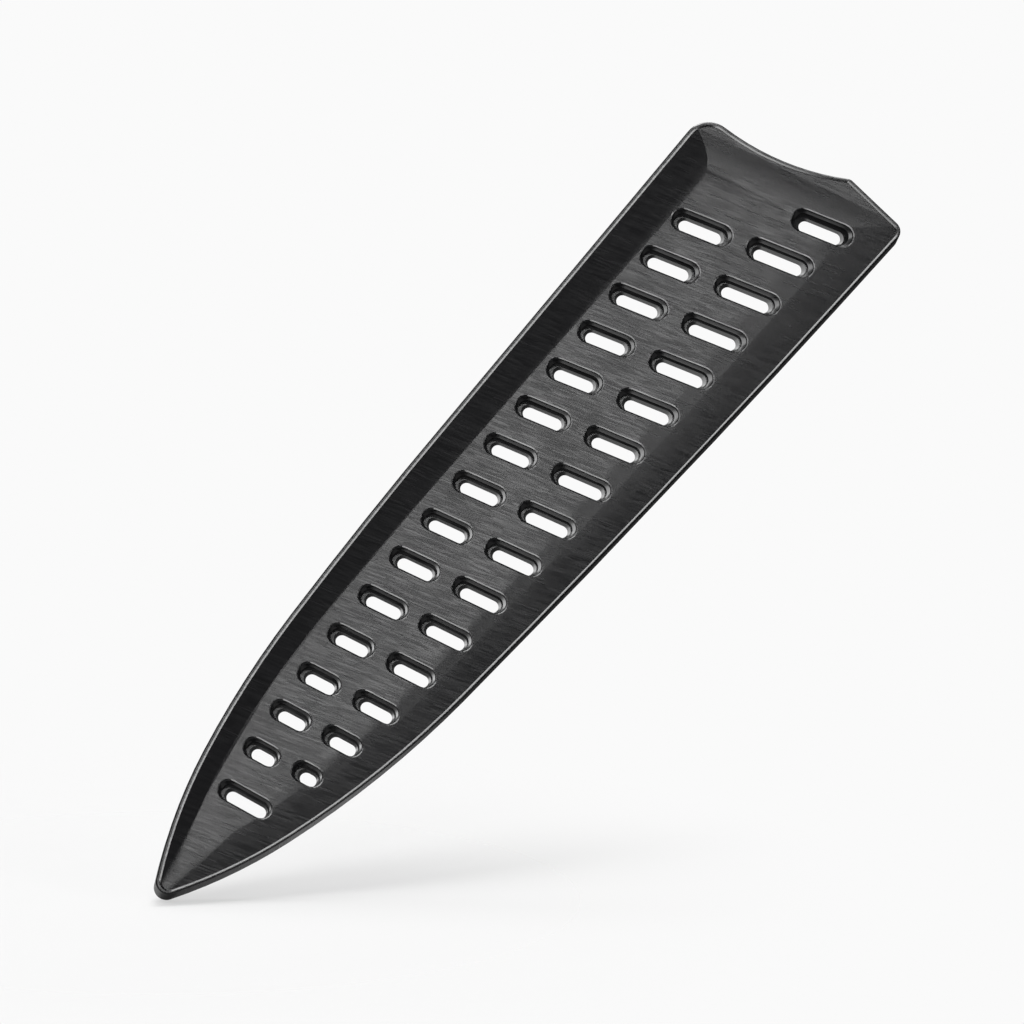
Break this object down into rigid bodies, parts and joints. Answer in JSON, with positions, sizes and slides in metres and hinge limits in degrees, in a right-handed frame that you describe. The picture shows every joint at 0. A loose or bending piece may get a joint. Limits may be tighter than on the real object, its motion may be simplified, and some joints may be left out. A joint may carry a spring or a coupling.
{
  "type": "knife blade guard",
  "caption": "Slim clamshell sheath for a cook's knife blade, with a dished face, a raised rim, slanted tapered vents and a scooped, flared mouth.",
  "frame": {"origin": "centre of the bounding box in plan, on the plane of the back rim that the guard lies on", "axes": "+X from the tip to the heel with the mouth, +Y from the edge side to the spine side, +Z from the back shell to the front shell"},
  "size_m": [0.2618, 0.0596, 0.0072],
  "materials": {
    "guard_plastic": "satin black moulded plastic with a fine brushed grain across the guard"
  },
  "bodies": {
    "root": {"front_shell": "guard_plastic", "back_shell": "guard_plastic"}
  },
  "joints": []
}
